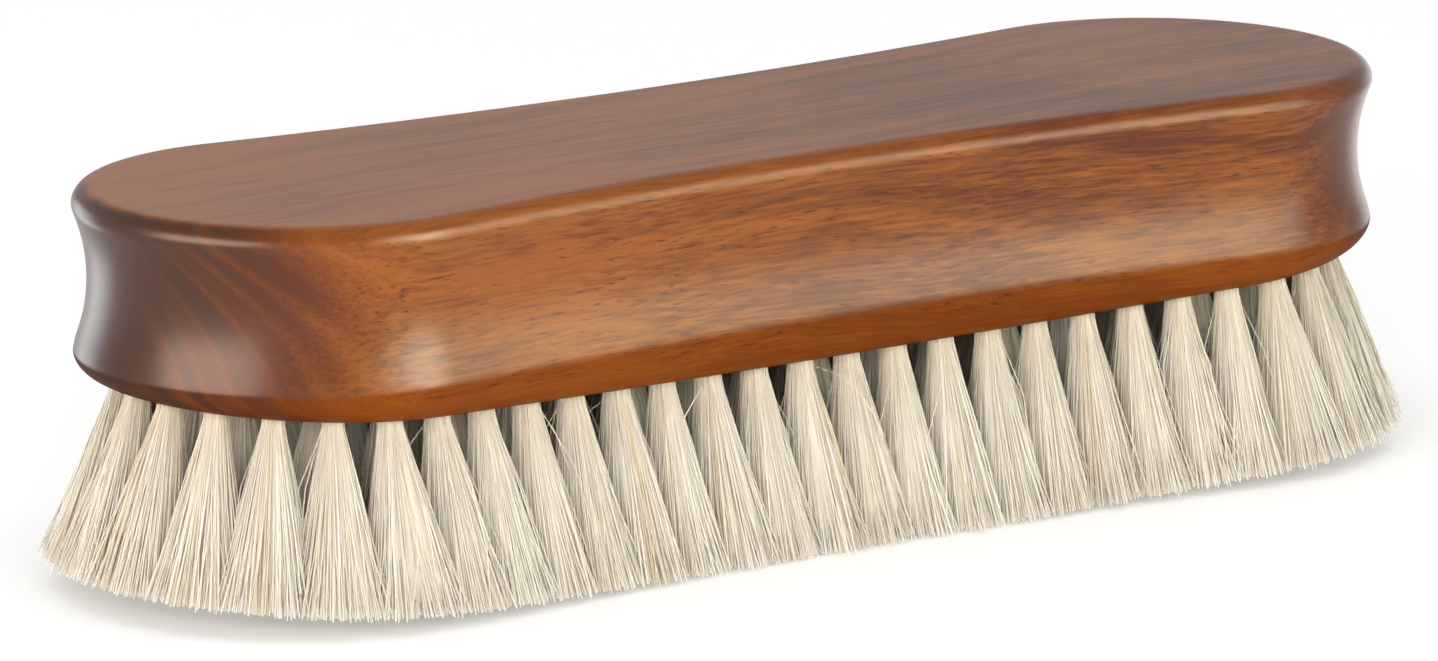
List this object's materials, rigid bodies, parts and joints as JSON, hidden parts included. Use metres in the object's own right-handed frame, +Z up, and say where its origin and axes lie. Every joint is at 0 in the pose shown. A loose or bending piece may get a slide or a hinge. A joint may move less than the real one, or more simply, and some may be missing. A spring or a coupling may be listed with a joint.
{
  "type": "shoe shine brush",
  "caption": "Waisted wooden hand brush with a finger groove round its side and flaring cream hair tufts set in its crowned underside, for shining shoes.",
  "frame": {"origin": "under the middle of the hair, on the plane of the lowest hair tips", "axes": "+Z up through the block's flat top, +X along the block's length, +Y across it"},
  "size_m": [0.184, 0.0612, 0.048],
  "materials": {
    "stained_beech": "gloss",
    "hair": "matte",
    "anchor_wire": "satin"
  },
  "bodies": {
    "root": {"block": "stained_beech", "centre_anchors": "anchor_wire", "centre_tufts_01": "hair", "centre_tufts_02": "hair", "centre_tufts_03": "hair", "centre_tufts_04": "hair", "centre_tufts_05": "hair", "centre_tufts_06": "hair", "centre_tufts_07": "hair", "centre_tufts_08": "hair", "edge_anchors": "anchor_wire", "edge_tufts_01": "hair", "edge_tufts_02": "hair", "edge_tufts_03": "hair", "edge_tufts_04": "hair", "edge_tufts_05": "hair", "edge_tufts_06": "hair", "edge_tufts_07": "hair", "edge_tufts_08": "hair", "edge_tufts_09": "hair", "edge_tufts_10": "hair", "edge_tufts_11": "hair", "edge_tufts_12": "hair", "edge_tufts_13": "hair", "edge_tufts_14": "hair", "middle_anchors": "anchor_wire", "middle_tufts_01": "hair", "middle_tufts_02": "hair", "middle_tufts_03": "hair", "middle_tufts_04": "hair", "middle_tufts_05": "hair", "middle_tufts_06": "hair", "middle_tufts_07": "hair", "middle_tufts_08": "hair", "middle_tufts_09": "hair"}
  },
  "joints": []
}
